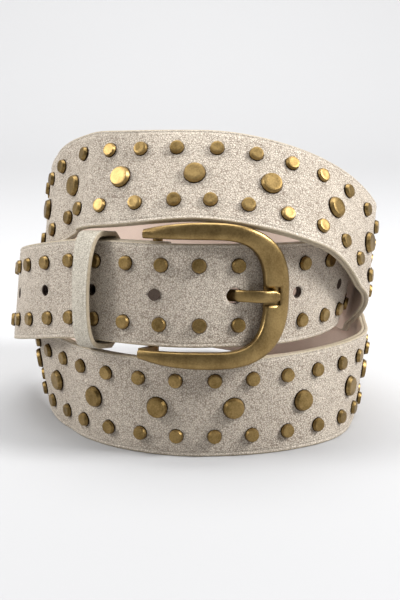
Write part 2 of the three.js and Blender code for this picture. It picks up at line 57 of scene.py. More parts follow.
def grid_faces(rows, columns, loop_rows=False, loop_columns=False):
    """Quads of a grid of points, row by row: (i, j), (i, j+1), (i+1, j+1), (i+1, j), wrapped round in a loop."""
    starts = np.arange(rows if loop_rows else rows - 1)
    i, j = np.meshgrid(starts, np.arange(columns if loop_columns else columns - 1), indexing="ij")
    up, on = (i + 1) % rows, (j + 1) % columns
    quads = np.stack([i * columns + j, i * columns + on, up * columns + on, up * columns + j], axis=-1)
    return quads.reshape(-1, 4)


def tube_faces(rings, count):
    """Quads of a tube of rings of points, and a cap at both its ends."""
    ends = [list(range(count))[::-1], list(range(rings * count - count, rings * count))]
    return grid_faces(rings, count, loop_columns=True).tolist() + ends


def make_piece(name, points, faces, finishes, slots=None, maps=None, sharp=35):
    """Mesh object from points in millimetres and faces, its finishes, the finish of each face and its UV maps.

    A closed shell whose volume, the sum of a . (b x c) / 6 over its triangles, is below zero gets its faces turned.
    """
    corners = [(f[0], f[k], f[k + 1]) for f in faces for k in range(1, len(f) - 1)]
    a, b, c = (points[np.array(corners)[:, k]] for k in range(3))
    if np.einsum("ij,ij->", a, np.cross(b, c)) < 0:
        faces = [f[::-1] for f in faces]
    mesh = bpy.data.meshes.new(name)
    mesh.from_pydata((points * MM).tolist(), [], [list(map(int, f)) for f in faces])
    for finish in finishes:
        mesh.materials.append(finish)
    if slots is not None:
        mesh.polygons.foreach_set("material_index", np.asarray(slots, dtype=np.int32))
    owner = np.zeros(len(mesh.loops), dtype=np.int32)
    mesh.loops.foreach_get("vertex_index", owner)
    for label, values in (maps or {}).items():
        mesh.uv_layers.new(name=label).data.foreach_set("uv", values[owner].astype(np.float32).ravel())
    mesh.shade_smooth()
    mesh.set_sharp_from_angle(angle=np.radians(sharp))
    piece = bpy.data.objects.new(name, mesh)
    bpy.context.scene.collection.objects.link(piece)
    return piece


class Wire:
    """A socket of a finish; sums on it add the Math nodes of the same name to the finish's node tree."""

    def __init__(self, finish, socket):
        self.finish, self.socket = finish, socket

    def maths(self, operation, *values):
        settings = {"operation": operation}
        return self.finish.node("ShaderNodeMath", settings, dict(enumerate(values)))

    def __add__(self, other):
        return self.maths("ADD", self, other)

    __radd__ = __add__

    def __sub__(self, other):
        return self.maths("SUBTRACT", self, other)

    def __rsub__(self, other):
        return self.maths("SUBTRACT", other, self)

    def __mul__(self, other):
        return self.maths("MULTIPLY", self, other)

    __rmul__ = __mul__

    def __truediv__(self, other):
        return self.maths("DIVIDE", self, other)

    def __pow__(self, other):
        return self.maths("POWER", self, other)

    def over(self, low, high):
        """0 at low, 1 at high and a smooth step between: s = clamp((x - low) / (high - low)), then 3s^2 - 2s^3."""
        settings = {"interpolation_type": "SMOOTHSTEP"}
        return self.finish.node("ShaderNodeMapRange", settings, {"Value": self, "From Min": low, "From Max": high})


class Finish:
    """A material under a Principled shader, with the few moves that the belt's finishes need."""

    def __init__(self, name, roughness, metallic=0.0, coat=0.0):
        self.material = bpy.data.materials.new(name)
        self.material.use_nodes = True
        self.tree = self.material.node_tree
        self.shader = self.tree.nodes["Principled BSDF"]
        self.feed("Roughness", roughness)
        self.feed("Metallic", metallic)
        self.feed("Coat Weight", coat)

    def node(self, kind, settings=None, inputs=None, output=0):
        """Adds a node of a type, sets its settings, then feeds its sockets, and gives back one of its outputs."""
        node = self.tree.nodes.new(kind)
        for key, value in (settings or {}).items():
            setattr(node, key, value)
        for key, value in (inputs or {}).items():
            if isinstance(value, Wire):
                self.tree.links.new(value.socket, node.inputs[key])
            else:
                node.inputs[key].default_value = value
        return Wire(self, node.outputs[output])

    def feed(self, name, value):
        """Sets or links one of the shader's own sockets."""
        if isinstance(value, Wire):
            self.tree.links.new(value.socket, self.shader.inputs[name])
        else:
            self.shader.inputs[name].default_value = value

    def place(self, label=None):
        """Object coordinates, or the named UV map."""
        if label:
            return self.node("ShaderNodeUVMap", {"uv_map": label}, output="UV")
        return self.node("ShaderNodeTexCoord", output="Object")

    def noise(self, at, scale, detail=2.0, roughness=0.5, distortion=0.0):
        values = {"Vector": at, "Scale": scale, "Detail": detail, "Roughness": roughness, "Distortion": distortion}
        return self.node("ShaderNodeTexNoise", {}, values, "Fac")

    def cracks(self, at, scale):
        """Distance to the nearest border between cells: 0 on the border."""
        return self.node("ShaderNodeTexVoronoi", {"feature": "DISTANCE_TO_EDGE"}, {"Vector": at, "Scale": scale})

    def moved(self, at, by, amount):
        """A place pushed off by a noise: at + (noise - 0.5) * amount on each axis."""
        wobble = self.node("ShaderNodeTexNoise", {}, {"Vector": at, "Scale": by, "Detail": 2.0}, "Color")
        centred = self.node("ShaderNodeVectorMath", {"operation": "SUBTRACT"}, {0: wobble, 1: (0.5, 0.5, 0.5)})
        settings = {"operation": "MULTIPLY_ADD"}
        return self.node("ShaderNodeVectorMath", settings, {0: centred, 1: (amount,) * 3, 2: at})

    def blend(self, share, low, high):
        """Colour between two colours by a share."""
        settings = {"data_type": "RGBA"}
        return self.node("ShaderNodeMix", settings, {0: share, 6: low, 7: high}, 2)

    def bump(self, height, depth):
        """Relief of a given depth in millimetres."""
        values = {"Height": height, "Strength": 1.0, "Distance": depth * MM}
        self.feed("Normal", self.node("ShaderNodeBump", {}, values))


def shade(red, green, blue):
    """Linear colour of a screen colour of 0 to 255: ((c / 255 + 0.055) / 1.055) ^ 2.4."""
    return tuple(((np.array([red, green, blue]) / 255 + 0.055) / 1.055) ** 2.4) + (1.0,)


# Table paint: darker towards the front and lighter up the wall, painted shade and painted light that even out how the
# lamps light the table and the wall.
table_paint = Finish("table_paint", roughness=0.9)
table_depth = table_paint.node("ShaderNodeSeparateXYZ", {}, {"Vector": table_paint.place()}, "Y")
table_front_painted_shade = table_paint.blend(table_depth.over(-0.14, 0.04), shade(166, 166, 167), shade(181, 181, 182))
table_colour = table_paint.blend(table_depth.over(0.8, 1.9), table_front_painted_shade, shade(194, 194, 195))
table_paint.feed("Base Color", table_colour)

# Table profile: flat under the belt, then a wide quarter turn up into a wall behind it.
TABLE_HALF = 6000.0
TABLE_FRONT = -3000.0
WALL_AT = 2600.0
WALL_BEND = 1400.0
bend = np.linspace(0, np.pi / 2, 24)
profile_y = np.concatenate([[TABLE_FRONT], WALL_AT - WALL_BEND + WALL_BEND * np.sin(bend), [WALL_AT]])
profile_z = np.concatenate([[0], WALL_BEND * (1 - np.cos(bend)), [5000]])
across_x = np.linspace(-TABLE_HALF, TABLE_HALF, 3)
sheet_x, sheet_y = np.meshgrid(across_x, profile_y)
sheet_z = np.meshgrid(across_x, profile_z)[1]
table_points = np.stack([sheet_x, sheet_y, sheet_z], axis=-1).reshape(-1, 3)
table_faces = grid_faces(len(profile_y), 3)
table = make_piece("table", table_points, table_faces, [table_paint.material], sharp=80)

# Studio light: a soft box overhead, a brighter one high on the right, a weaker one on the left, and one for the wall.
LAMPS = np.array(
    [
        ("top", 0, -20, 1300, 700, 4.2, 0),
        ("key", 980, -300, 760, 420, 21.0, 0),
        ("fill", -980, -200, 640, 500, 10.8, 0),
        ("back", 0, 900, 2300, 2400, 74.0, 2300),
    ],
    dtype=[("name", "U8")] + [(label, float) for label in ("x", "y", "z", "size", "power", "aim")],
)
for lamp in LAMPS:
    data = bpy.data.lights.new(str(lamp["name"]), "AREA")
    data.energy, data.size = float(lamp["power"]), float(lamp["size"]) * MM
    light = bpy.data.objects.new(str(lamp["name"]), data)
    spot = np.array([lamp["x"], lamp["y"], lamp["z"]])
    away = spot - np.array([0.0, lamp["aim"], 55.0])
    away /= np.linalg.norm(away)
    side = np.cross([0.0, 1.0, 0.0], away)
    side /= np.linalg.norm(side)
    turn = Matrix(np.column_stack([side, np.cross(away, side), away]).tolist())
    light.matrix_world = Matrix.Translation(spot * MM) @ turn.to_4x4()
    bpy.context.scene.collection.objects.link(light)
surround = bpy.data.worlds.new("surround")
surround.use_nodes = True
surround.node_tree.nodes["Background"].inputs["Color"].default_value = (1, 1, 1, 1)
surround.node_tree.nodes["Background"].inputs["Strength"].default_value = 0.22
bpy.context.scene.world = surround
bpy.context.scene.view_settings.view_transform = "Standard"

# Strap face: suede-faced leather 1.6 mm thick with a crackled metallic wash, cut to 40 mm, its edges rounded and
# painted cream and a line pressed in beside each. It turns round the buckle's bar, winds three loops and ends in
# the holed tip, which passes back over the buckle end.
STRAP_WIDTH = 40.0
FACE_THICKNESS = 1.6
LINING_THICKNESS = 1.1
BOND_GAP = 0.3
STRAP_THICKNESS = FACE_THICKNESS + BOND_GAP + LINING_THICKNESS
TIP_TAPER = 24.0
TIP_END_WIDTH = 14.0
COIL_RADIUS = 75.0
COIL_MIDDLE = np.array([3.3, -2.5, 0.0])
LOOSE_GAP = 0.5
TIP_GAP = 0.9
BUCKLE_END_AROUND = 14.0
TIP_AROUND = 1221.0
STUD_PITCH = 14.9
SMALL_STUD_HEIGHT = 1.8
BAR_DIAMETER = 4.0
BAR_AT = -19.5
FIT_GAP = 0.35
FOLD_RETURN = 18.0
HOLE_PITCH = 29.3
HOLE_DIAMETER = 4.6
TONGUE_WIDTH = 4.8
TONGUE_HOLE_AT = 12.7
SLOT_SLACK = 0.7
SLOT_LENGTH = 6.8
TONGUE_CLIMB = 5.0
CLIMB_AHEAD = 1.3
LAYER_PITCH = STRAP_THICKNESS + SMALL_STUD_HEIGHT + LOOSE_GAP
UNDER_TIP = STRAP_THICKNESS + TIP_GAP

# Route of the strap leftwards round the coil. around: degrees turned, 0, 360, 720 and 1080 are the front. radius:
# share of the coil's radius. inside: strap layers that pass outside it. lift: lower edge, in strap widths. lean:
# degrees that the upper edge tips inwards.
COLUMNS = [(label, float) for label in ("around", "radius", "inside", "lift", "lean")]
BUCKLED_STRETCH = np.array(
    [
        (0, 1.055, 0, 1.135, 7),
        (44, 0.98, 0, 1.075, 8),
        (64, 1.02, 0, 0.95, 5),
        (85, 1.06, 0, 0.79, 6),
        (135, 1.155, 0, 0.4, 2),
        (175, 1.235, 0, 0.14, 0),
    ],
    dtype=COLUMNS,
)
FREE_STRETCH = np.array(
    [
        (275, 0.955, 0, 0, -7),
        (290, 0.985, 0, 0, -7),
        (318, 1.03, 0, 0, 2),
        (360, 1.03, 0, 0, -3),
        (382, 1.02, 0.35, 0, -3),
        (400, 1.01, 0.85, 0, -3),
        (415, 1.01, 1.42, 0, -4),
        (445, 1.05, 1.74, 0.08, -8),
        (490, 1.11, 1.6, 0.42, -4),
        (540, 1.174, 1, 0.6, -6),
        (590, 1.092, 1.05, 0.75, -11),
        (633, 1.01, 0.7, 0.9, -16),
        (656, 1.045, 0, 1.45, 3),
        (678, 1.02, 0, 1.98, 28),
        (720, 0.852, 0, 2.33, 36),
        (750, 0.85, 0, 2.232, 25),
        (764, 0.874, 0.5, 2.167, 17.5),
        (774, 0.888, 1, 2.08, 11),
        (786, 0.906, 1, 1.92, 9.5),
        (805, 0.94, 1, 1.68, 8),
        (850, 1.028, 1.5, 1.45, 2),
        (900, 1.11, 2, 1.3, -4),
        (950, 1.09, 2, 1.16, -10),
        (995, 0.98, 1.5, 1.06, -15),
        (1015, 0.995, 1, 1.08, -12),
        (1038, 0.97, 0, 1.09, -4),
    ],
    dtype=COLUMNS,
)
# The stretch before the lower loop, hidden behind the coil, and how far the buckle end lies under the tip there.
HIDDEN_BACK = np.array([(210, 1.195, 0, 0, 0), (245, 1.06, 0, 0, 0)], dtype=COLUMNS)
COMING = np.array([(-42, 0.97, 0, 1.09, -4)], dtype=COLUMNS)
BACK_TO_FRONT = 1080.0


def laid(table, depth=0.0, turn=0.0):
    """Rows as (around + turn, radius * coil radius - inside * layer pitch - depth, lift * width, lean in radians)."""
    radius = table["radius"] * COIL_RADIUS - table["inside"] * LAYER_PITCH - depth
    lift = table["lift"] * STRAP_WIDTH
    return np.column_stack([table["around"] + turn, radius, lift, np.radians(table["lean"])])


ROUTE = np.vstack(
    [
        laid(COMING, UNDER_TIP),
        laid(BUCKLED_STRETCH, UNDER_TIP),
        laid(HIDDEN_BACK, UNDER_TIP * (245 - HIDDEN_BACK["around"]) / 85),
        laid(FREE_STRETCH),
        laid(BUCKLED_STRETCH, turn=BACK_TO_FRONT),
    ]
)
ROUTE_SPANS = np.diff(ROUTE[:, 0])
ROUTE_STEPS = np.diff(ROUTE[:, 1:], axis=0) / ROUTE_SPANS[:, None]
before, after = ROUTE_SPANS[:-1, None], ROUTE_SPANS[1:, None]
meeting = (before * ROUTE_STEPS[1:] + after * ROUTE_STEPS[:-1]) / (before + after)
meeting[ROUTE_STEPS[1:] * ROUTE_STEPS[:-1] <= 0] = 0
ROUTE_SLOPES = np.vstack([ROUTE_STEPS[:1], meeting, ROUTE_STEPS[-1:]])


def route_at(around):
    """Radius, lift and lean at turns: cubic Hermite curves through the rows, level where a column turns back.

    value = (2t^3 - 3t^2 + 1) y0 + (t^3 - 2t^2 + t) h m0 + (3t^2 - 2t^3) y1 + (t^3 - t^2) h m1.
    """
    i = np.clip(np.searchsorted(ROUTE[:, 0], around, side="right") - 1, 0, len(ROUTE) - 2)
    span = ROUTE_SPANS[i]
    t = (around - ROUTE[i, 0]) / span
    low, high = ROUTE[i, 1:].T, ROUTE[i + 1, 1:].T
    return (
        (2 * t**3 - 3 * t**2 + 1) * low
        + (t**3 - 2 * t**2 + t) * span * ROUTE_SLOPES[i].T
        + (3 * t**2 - 2 * t**3) * high
        + (t**3 - t**2) * span * ROUTE_SLOPES[i + 1].T
    )


def middle_at(around):
    """Middle of the strap: (x0 - r sin a, y0 - r cos a, lift + (width cos lean + thickness |sin lean|) / 2)."""
    radius, lift, lean = route_at(around)
    turn = np.radians(around)
    height = lift + (STRAP_WIDTH * np.cos(lean) + STRAP_THICKNESS * np.abs(np.sin(lean))) / 2
    return COIL_MIDDLE + np.stack([-radius * np.sin(turn), -radius * np.cos(turn), height], axis=-1)


def unit(vectors):
    """Vectors over their own lengths."""
    return vectors / np.linalg.norm(vectors, axis=-1, keepdims=True)


def strap_at(around):
    """Middle and the strap's directions: along = rightwards at the front, across = up its width, out = off its face.

    level = along x up, upright = level x along, then both turned by the lean about along.
    """
    around = np.atleast_1d(np.asarray(around, dtype=float))
    lean = route_at(around)[2][:, None]
    along = unit(middle_at(around - 0.5) - middle_at(around + 0.5))
    level = unit(np.cross(along, [0.0, 0.0, 1.0]))
    upright = np.cross(level, along)
    across = upright * np.cos(lean) - level * np.sin(lean)
    return middle_at(around), along, across, level * np.cos(lean) + upright * np.sin(lean)


# Length of strap at each degree, so that pieces can be set by length from the front of the tip.
TURNS = np.arange(BUCKLE_END_AROUND - 60, TIP_AROUND + 2)
LENGTHS = np.concatenate([[0], np.cumsum(np.linalg.norm(np.diff(middle_at(TURNS), axis=0), axis=1))])


def length_at(around):
    """Length of strap up to a turn, read between the whole degrees."""
    return np.interp(around, TURNS, LENGTHS)


def around_at(length):
    """Turn at a length of strap, the other way round."""
    return np.interp(length, LENGTHS, TURNS)


FRONT_OF_TIP = length_at(BACK_TO_FRONT)
TIP_LENGTH = length_at(TIP_AROUND)
BAR_AROUND = around_at(FRONT_OF_TIP - BAR_AT) - BACK_TO_FRONT
BAR_LENGTH = length_at(BAR_AROUND)
FOLD_RADIUS = BAR_DIAMETER / 2 + FIT_GAP + STRAP_THICKNESS / 2


def on_tip(run):
    """Strap frame at runs along the tip end from the front's middle, rightwards positive."""
    return strap_at(around_at(FRONT_OF_TIP - np.asarray(run, dtype=float)))


def placed(spots, across, out, along=0.0):
    """Points at offsets in the strap's own directions: middle + along * u + across * v + out * w."""
    middle, right, up, off = spots
    along, across, out = (np.asarray(value, dtype=float)[..., None] for value in (along, across, out))
    return middle + right * along + up * across + off * out


# Stations: the fold's return behind the buckle end, half a turn round the bar, then the whole run to the tip.
fold_runs = np.linspace(FOLD_RETURN, 1.0, 12)
eased = np.clip(fold_runs / 16, 0, 1)
eased = eased**2 * (3 - 2 * eased)
fold_apart = 2 * FOLD_RADIUS + (STRAP_THICKNESS + LOOSE_GAP - 2 * FOLD_RADIUS) * eased
fold = strap_at(around_at(BAR_LENGTH + fold_runs))
bar_spot = strap_at(BAR_AROUND)
fold_turn = np.pi * (1 - np.linspace(0, 1, 15))[:, None]
turn_out = bar_spot[3] * np.cos(fold_turn) + bar_spot[1] * np.sin(fold_turn)
turn_middle = placed(bar_spot, 0, -FOLD_RADIUS) + turn_out * FOLD_RADIUS
run_lengths = np.arange(BAR_LENGTH + 2.5, TIP_LENGTH - TIP_TAPER, 2.5)
tip_lengths = TIP_LENGTH - TIP_TAPER * np.cos(np.linspace(0, np.pi / 2, 16)) ** 1.5
run_lengths = np.concatenate([run_lengths, tip_lengths])
run = strap_at(around_at(run_lengths))
path_middle = np.vstack([placed(fold, 0, -fold_apart), turn_middle, run[0]])
path_across = np.vstack([fold[2], np.repeat(bar_spot[2], 15, axis=0), run[2]])
path_out = np.vstack([-fold[3], turn_out, run[3]])
left_over = np.clip((TIP_LENGTH - run_lengths) / TIP_TAPER, 0, 1)
run_half = (TIP_END_WIDTH + (STRAP_WIDTH - TIP_END_WIDTH) * np.sqrt(left_over)) / 2
path_half = np.concatenate([np.full(27, STRAP_WIDTH / 2), run_half])
path_length = np.concatenate([[0], np.cumsum(np.linalg.norm(np.diff(path_middle, axis=0), axis=1))])


def rounded(from_edge, radius=0.55):
    """How far a rounded edge lies under its face: q - sqrt(q^2 - (q - e)^2) within q of the edge, else 0."""
    near = np.clip(radius - from_edge, 0, radius)
    return radius - np.sqrt(radius**2 - near**2)


def ribbon(name, from_edge, outside, inside, finishes, crease=0.0):
    """A layer of the strap carried along its path, a closed section at each station and an end cap at both ends.

    Outer side: outside - rounded(e) - crease * exp(-((e - 1.4) / 0.3)^2), with e the distance from the edge; inner
    side: inside + rounded(e), never past the layer's middle. Across is the half width less e.
    """
    shares = np.linspace(-1, 1, 25)[1:-1]
    back_edge = np.array([0.08, 0.3, 0.55])
    half = path_half[:, None]
    top = outside - rounded(from_edge) - crease * np.exp(-(((from_edge - 1.4) / 0.3) ** 2))
    bottom = inside + np.minimum(rounded(back_edge), (outside - inside) / 2)
    outer = np.hstack([from_edge - half, shares * (half - from_edge[-1]), half - from_edge[::-1]])
    back_middle = np.linspace(1, -1, 9)[1:-1] * (half - back_edge[-1])
    inner = np.hstack([half - back_edge, back_middle, back_edge[::-1] - half])
    across = np.hstack([outer, inner])
    front = [top, np.full(len(shares), outside), top[::-1]]
    out = np.concatenate(front + [bottom, np.full(back_middle.shape[1], inside), bottom[::-1]])
    rows, count = across.shape
    points = path_middle[:, None] + path_across[:, None] * across[..., None] + path_out[:, None] * out[:, None]
    edge = half - np.abs((across + np.roll(across, -1, axis=1)) / 2)
    painted = (edge[:-1] < 0.42).astype(int).ravel()
    strap_map = np.stack([np.broadcast_to(path_length[:, None], across.shape), across], axis=-1) * MM
    edge_map = np.stack([half - np.abs(across), np.zeros_like(across)], axis=-1) * MM
    maps = {"strap": strap_map.reshape(-1, 2), "edge": edge_map.reshape(-1, 2)}
    slots = np.concatenate([painted, [1, 1]])
    return make_piece(name, points.reshape(-1, 3), tube_faces(rows, count), finishes, slots, maps, 50)


def rod(radius_x, radius_y, depth, sides=32):
    """Points and faces of an upright rod: a ring at each end, (rx cos a, ry sin a, +-depth / 2)."""
    turn = np.arange(sides) * 2 * np.pi / sides
    ring = np.stack([radius_x * np.cos(turn), radius_y * np.sin(turn), np.zeros(sides)], axis=-1)
    points = np.concatenate([ring + [0, 0, -depth / 2], ring + [0, 0, depth / 2]])
    return points, tube_faces(2, sides)


def block(length, width, height):
    """Points and faces of a box about the origin."""
    corners = np.array([(x, y, z) for z in (-1, 1) for x, y in ((-1, -1), (1, -1), (1, 1), (-1, 1))])
    return corners * np.array([length, width, height]) / 2, tube_faces(2, 4)


def at_spot(points, spot, across=0.0, out=0.0, along=0.0):
    """Points of a shape in a station's own directions: place + x along + y across + z out."""
    return placed(spot, across, out, along) + points @ np.vstack([spot[1][0], spot[2][0], spot[3][0]])


def cut_out(piece, shapes, slot):
    """Cuts shapes (points, faces) out of a piece; the new walls take one of its finishes."""
    offset, points, faces = 0, [], []
    for shape_points, shape_faces in shapes:
        points.append(shape_points)
        faces += [[k + offset for k in face] for face in shape_faces]
        offset += len(shape_points)
    finishes = list(piece.data.materials)
    cutter = make_piece("cutter", np.concatenate(points), faces, finishes, [slot] * len(faces))
    cutting = piece.modifiers.new("cut", "BOOLEAN")
    cutting.object, cutting.solver = cutter, "EXACT"
    done = bpy.data.meshes.new_from_object(piece.evaluated_get(bpy.context.evaluated_depsgraph_get()))
    piece.modifiers.clear()
    old, piece.data = piece.data, done
    bpy.data.objects.remove(cutter)
    bpy.data.meshes.remove(old)
    done.name = piece.name


# Crackled suede: a thin grey-beige wash over darker leather, broken into fine worm-like grain, with a faint sheen,
# a painted highlight on the pressed line and rim beside each edge, and dark painted shade where a layer lies open
# under a hole.
# Radii of the painted shade under each hole: fully dark out to the first, faded out by the second.
HOLE_SHADE_FULL = 2.6 * MM
HOLE_SHADE_END = 3.6 * MM


def suede(name, dark, light, glint, painted_shade_spots=()):
    finish = Finish(name, roughness=0.6)
    at = finish.place("strap")
    crumpled = finish.moved(at, 700.0, 0.0011)
    grain = finish.cracks(crumpled, 1150.0).over(0.0, 0.17)
    specks = finish.noise(at, 2400.0, 3.0, 0.7).over(0.3, 0.7)
    blotch = finish.noise(crumpled, 420.0, 3.0, 0.6).over(0.25, 0.75)
    clouds = finish.noise(at, 40.0, 4.0, 0.55)
    share = 0.45 * grain + 0.2 * specks + 0.2 * blotch + 0.3 * (clouds - 0.3)
    colour = finish.blend(share.over(-0.05, 1.05), dark, light)
    gap = finish.node("ShaderNodeSeparateXYZ", {}, {"Vector": finish.place("edge")}, "X")
    # The pressed line and the flecked rim beside each edge are lightened towards the glint colour: a painted
    # highlight, and rubbed wear in the rim's flecks.
    off_line = gap - 0.0014
    crease = 1 - off_line.maths("ABSOLUTE", off_line).over(0.0, 0.0005)
    rubbed_rim_glint = (1 - gap.over(0.0002, 0.0014)) * specks
    colour = finish.blend(crease * 0.35 + rubbed_rim_glint * 0.3, colour, glint)
    # Painted shade: a dark disc on the buckle end's layer under each hole of the tip, where it lies in shadow.
    for length in painted_shade_spots:
        centre = (length * MM, 0.0, 0.0)
        away = finish.node("ShaderNodeVectorMath", {"operation": "DISTANCE"}, {0: at, 1: centre}, "Value")
        colour = finish.blend(away.over(HOLE_SHADE_END, HOLE_SHADE_FULL), colour, shade(22, 16, 12))
    finish.feed("Base Color", colour)
    finish.feed("Roughness", 0.74 - 0.24 * grain * specks)
    finish.feed("Metallic", 0.15 * blotch)
    finish.bump(0.6 * grain + 0.3 * specks + 0.6 * blotch, 0.24)
    return finish


hole_runs = TONGUE_HOLE_AT + HOLE_PITCH * np.array([-4, -3, -2, -1, 1, 2])
# Lengths along the strap's path of the buckle end's layer under the tip's holes, which get the painted shade.
under_holes = length_at(around_at(FRONT_OF_TIP - hole_runs[:4]) - BACK_TO_FRONT)
under_holes += path_length[len(path_length) - len(run_lengths)] - run_lengths[0]
suede_face = suede(
    "crackled_suede", shade(120, 103, 87), shade(221, 210, 194), shade(226, 216, 200), under_holes
)
edge_paint = Finish("edge_paint", roughness=0.5)
edge_grain = edge_paint.noise(edge_paint.place(), 900.0, 3.0)
edge_paint.feed("Base Color", edge_paint.blend(edge_grain, shade(140, 125, 102), shade(190, 177, 153)))
edge_paint.bump(edge_grain, 0.12)

# Hole walls: cut leather fibres, painted near-black brown as the shade inside the holes and slots.
hole_wall = Finish("hole_wall", roughness=0.8)
hole_fibres = hole_wall.noise(hole_wall.place(), 2200.0, 3.0)
hole_wall.feed("Base Color", hole_wall.blend(hole_fibres, shade(38, 27, 21), shade(84, 66, 52)))

face_columns = np.array([0.0, 0.08, 0.25, 0.55, 0.9, 1.15, 1.4, 1.65, 1.95, 2.6])
strap_leather = ribbon(
    "strap_leather",
    face_columns,
    STRAP_THICKNESS / 2,
    STRAP_THICKNESS / 2 - FACE_THICKNESS,
    [suede_face.material, edge_paint.material, hole_wall.material],
    crease=0.22,
)
hole_depth = STRAP_THICKNESS + 2 * LOOSE_GAP
hole_rod, hole_rod_faces = rod(HOLE_DIAMETER / 2, HOLE_DIAMETER / 2, hole_depth)
strap_holes = [(at_spot(hole_rod, on_tip(run), 0, LOOSE_GAP / 2), hole_rod_faces) for run in hole_runs]
pulled_points, pulled_faces = rod(SLOT_LENGTH / 2, TONGUE_WIDTH / 2 + SLOT_SLACK, 2 * hole_depth)
strap_holes.append((at_spot(pulled_points, on_tip(TONGUE_HOLE_AT + CLIMB_AHEAD)), pulled_faces))
slot_reach = FOLD_RADIUS + STRAP_THICKNESS / 2 + SLOT_SLACK
slot_points, slot_faces = block(2 * slot_reach, TONGUE_WIDTH + 2 * SLOT_SLACK, 2 * slot_reach)
strap_holes.append((at_spot(slot_points, bar_spot, 0, -FOLD_RADIUS), slot_faces))
cut_out(strap_leather, strap_holes, 2)
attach(strap_leather, "root")
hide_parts("strap_face")

# Lining: smooth pinkish split leather 1.1 mm thick glued behind the face, with the same painted edge.
lining_finish = Finish("lining_leather", roughness=0.62)
lining_at = lining_finish.place("strap")
lining_pores = lining_finish.noise(lining_at, 1900.0, 3.0, 0.6)
lining_clouds = lining_finish.noise(lining_at, 60.0, 3.0)
lining_finish.feed(
    "Base Color",
    lining_finish.blend(0.5 * lining_pores + 0.5 * lining_clouds, shade(174, 150, 138), shade(216, 200, 186)),
)
lining_finish.bump(lining_pores, 0.06)
lining_leather = ribbon(
    "lining_leather",
    np.array([0.0, 0.08, 0.3, 0.55]),
    -STRAP_THICKNESS / 2 + LINING_THICKNESS + BOND_GAP * 0.8,
    -STRAP_THICKNESS / 2,
    [lining_finish.material, edge_paint.material, hole_wall.material],
)
cut_out(lining_leather, strap_holes, 2)
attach(lining_leather, "root")
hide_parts("strap_lining")

# Studs: cast brass caps, small ones in two rows near the strap's edges and a big one on its middle for each second
# column, each with a flat top, a sloping rim and a near-black foot. They are riveted through the face.
STUD_ROW_OFFSET = 11.5
SMALL_STUD_DIAMETER = 5.9
BIG_STUD_DIAMETER = 8.7
BIG_STUD_HEIGHT = 2.1
STUD_CAP_SHARE = 0.78
COLUMN_AT_FRONT = 0.5
STUD_LEAD = 3.02
FIRST_STUD_AROUND = 145.0
LAST_BIG_STUD_AROUND = 985.0
BIG_STUD_PHASE = 0


def studs(name, lengths, rows, radius, height, sides, rings, finish):
    """Studs on the strap: rings of (share of radius, share of height) about each spot, closed by a flat top."""
    rings = np.asarray(rings)
    turn = np.arange(sides) * 2 * np.pi / sides
    along = (rings[:, :1] * np.cos(turn) * radius).ravel()
    across = (rings[:, :1] * np.sin(turn) * radius).ravel()
    out = np.repeat(rings[:, 1] * height, sides) + STRAP_THICKNESS / 2
    spots = strap_at(around_at(np.repeat(lengths, len(rows))))
    spots = [value[:, None] for value in spots]
    row = np.tile(rows, len(lengths))[:, None]
    heights_out = np.broadcast_to(out, (len(row), len(out)))
    points = placed(spots, across[None] + row, heights_out, along[None] + 0 * row)
    each = len(out)
    shape = tube_faces(len(rings), sides)
    faces = [[k + i * each for k in face] for i in range(len(row)) for face in shape]
    heights = np.stack([np.repeat(rings[:, 1], sides), np.repeat(rings[:, 0], sides)], axis=-1)
    maps = {"height": np.tile(heights, (len(row), 1))}
    return make_piece(name, points.reshape(-1, 3), faces, [finish], None, maps, 28)


# Antique brass: worn brown-gold in soft lighter and darker patches, lightly pitted.
def brass(name, rough):
    finish = Finish(name, roughness=rough, metallic=1.0)
    at = finish.place()
    clouds = finish.noise(at, 120.0, 4.0, 0.6)
    pits = finish.noise(at, 1500.0, 3.0, 0.6)
    share = (0.6 * clouds + 0.4 * pits).over(0.25, 0.75)
    finish.feed("Roughness", rough - 0.1 + 0.24 * pits)
    return finish, share, pits


stud_brass, stud_share, stud_pits = brass("stud_brass", 0.42)
stud_height = stud_brass.node("ShaderNodeSeparateXYZ", {}, {"Vector": stud_brass.place("height")}, "X")
worn = stud_brass.blend(stud_share, shade(100, 80, 44), shade(166, 140, 92))
# The stud is near-black brown below a fifth of its height, at its foot on the strap.
stud_brass.feed("Base Color", stud_brass.blend(stud_height.over(0.2, 0.4), shade(44, 32, 20), worn))
stud_brass.bump(stud_pits, 0.03)

panel_count = np.floor((FRONT_OF_TIP - BAR_LENGTH) / STUD_PITCH) - 1
numbers = np.arange(0, 120)
columns = FRONT_OF_TIP - COLUMN_AT_FRONT + (numbers - panel_count) * STUD_PITCH
panel_starts = columns - STUD_LEAD
last_panel = TIP_LENGTH - TIP_TAPER - 1.5 * STUD_PITCH
is_column = (panel_starts > length_at(FIRST_STUD_AROUND)) & (panel_starts < last_panel)
has_big = is_column & (numbers % 2 == BIG_STUD_PHASE) & (panel_starts < length_at(LAST_BIG_STUD_AROUND))
STUD_RINGS = [
    (0.95, -0.25),
    (1.05, 0.04),
    (1.0, 0.3),
    (0.95, 0.62),
    (STUD_CAP_SHARE + 0.07, 0.95),
    (STUD_CAP_SHARE - 0.06, 1.0),
    (STUD_CAP_SHARE - 0.3, 0.97),
]
small_studs = studs(
    "small_studs",
    columns[is_column],
    [-STUD_ROW_OFFSET, STUD_ROW_OFFSET],
    SMALL_STUD_DIAMETER / 2,
    SMALL_STUD_HEIGHT,
    12,
    STUD_RINGS,
    stud_brass.material,
)
big_studs = studs(
    "big_studs",
    columns[has_big] + STUD_PITCH / 2,
    [0.0],
    BIG_STUD_DIAMETER / 2,
    BIG_STUD_HEIGHT,
    16,
    STUD_RINGS,
    stud_brass.material,
)
for piece in (small_studs, big_studs):
    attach(piece, "root")
    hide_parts("strap_face")

